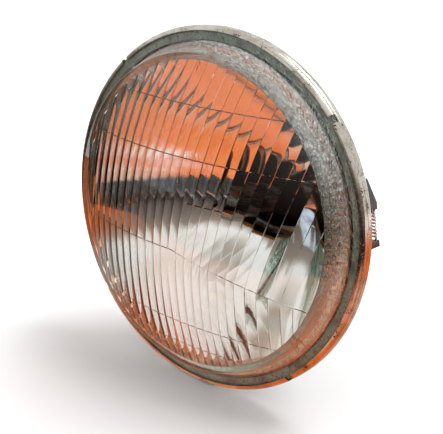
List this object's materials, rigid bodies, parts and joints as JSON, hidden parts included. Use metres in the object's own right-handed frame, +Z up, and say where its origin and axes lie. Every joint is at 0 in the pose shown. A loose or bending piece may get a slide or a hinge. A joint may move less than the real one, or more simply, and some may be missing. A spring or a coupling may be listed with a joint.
{
  "type": "round headlight",
  "caption": "Round vehicle headlight unit: fluted domed glass lens, silvered bowl, bright metal rim, clipped-in bulb, spring-loaded aiming screws and a side pivot.",
  "frame": {"origin": "on the lamp's axis, halfway along the depth of the rim", "axes": "-Y is the way the lamp shines, +X is right seen from the front, +Z is up"},
  "size_m": [0.178, 0.1036, 0.178],
  "materials": {
    "lens_glass": "pressed clear glass, fluted inside",
    "sealing_bead": "matt grey-beige sealing compound",
    "bright_metal": "bright plated, lightly worn",
    "mirror_coat": "vacuum-aluminised mirror inside",
    "zinc_steel": "zinc-plated steel, dull",
    "black_steel": "black stoved paint",
    "black_moulding": "black glass-filled nylon",
    "white_nylon": "natural nylon",
    "spring_steel": "drawn spring wire",
    "bulb_glass": "clear thin glass, tip blackened",
    "tungsten": "dark tungsten wire",
    "brass": "plain brass blades, slightly tarnished",
    "bulb_metal": "plated steel, dulled"
  },
  "bodies": {
    "lamp": {"lens": "lens_glass", "lens_seal": "sealing_bead", "rim": "bright_metal", "reflector": "mirror_coat", "mounting_ring": "black_steel", "ring_rivets": "zinc_steel", "pivot_bracket": "black_moulding", "pull_spring": "spring_steel", "bulb_seat_ring": "zinc_steel", "seat_rivets": "zinc_steel", "clip_hinge_bracket": "zinc_steel", "clip_keeper": "zinc_steel", "bulb_glass": "bulb_glass", "bulb_stem": "bulb_glass", "filament_posts": "tungsten", "main_filament": "tungsten", "dip_filament": "tungsten", "dip_shield": "bulb_metal", "bulb_shell": "bulb_metal", "bulb_flange": "bulb_metal", "bulb_base": "black_moulding", "main_terminal": "brass", "dip_terminal": "brass", "earth_terminal": "brass", "upper_bracket": "black_moulding", "upper_spring": "spring_steel", "lower_bracket": "black_moulding", "lower_spring": "spring_steel"},
    "upper_screw": {"upper_screw": "zinc_steel", "upper_circlip": "zinc_steel"},
    "upper_nut": {"upper_nut": "white_nylon"},
    "lower_screw": {"lower_screw": "zinc_steel", "lower_circlip": "zinc_steel"},
    "lower_nut": {"lower_nut": "white_nylon"},
    "clip": {"bulb_clip": "spring_steel"}
  },
  "joints": [
    {"name": "upper_nut_slide", "type": "slide", "parent": "lamp", "child": "upper_nut", "axis": [0, 1, 0], "range_m": [-0.0048, 0.0048]},
    {"name": "upper_screw_turn", "type": "hinge", "parent": "lamp", "child": "upper_screw", "pos_m": [-0.05346, 0.0167, 0.05938], "axis": [0, 1, 0], "range_deg": [-2190, 2190]},
    {"name": "lower_nut_slide", "type": "slide", "parent": "lamp", "child": "lower_nut", "axis": [0, 1, 0], "range_m": [-0.0048, 0.0048]},
    {"name": "lower_screw_turn", "type": "hinge", "parent": "lamp", "child": "lower_screw", "pos_m": [-0.02469, 0.0167, -0.07599], "axis": [0, 1, 0], "range_deg": [-2190, 2190]},
    {"name": "clip_hinge", "type": "hinge", "parent": "lamp", "child": "clip", "pos_m": [-0.033, 0.05967, 0], "axis": [0, 0, 1], "range_deg": [0, 110]}
  ],
  "couplings": [
    {"joint": "upper_screw_turn", "follows": "upper_nut_slide", "rad_per_m": -7854},
    {"joint": "lower_screw_turn", "follows": "lower_nut_slide", "rad_per_m": -7854}
  ]
}
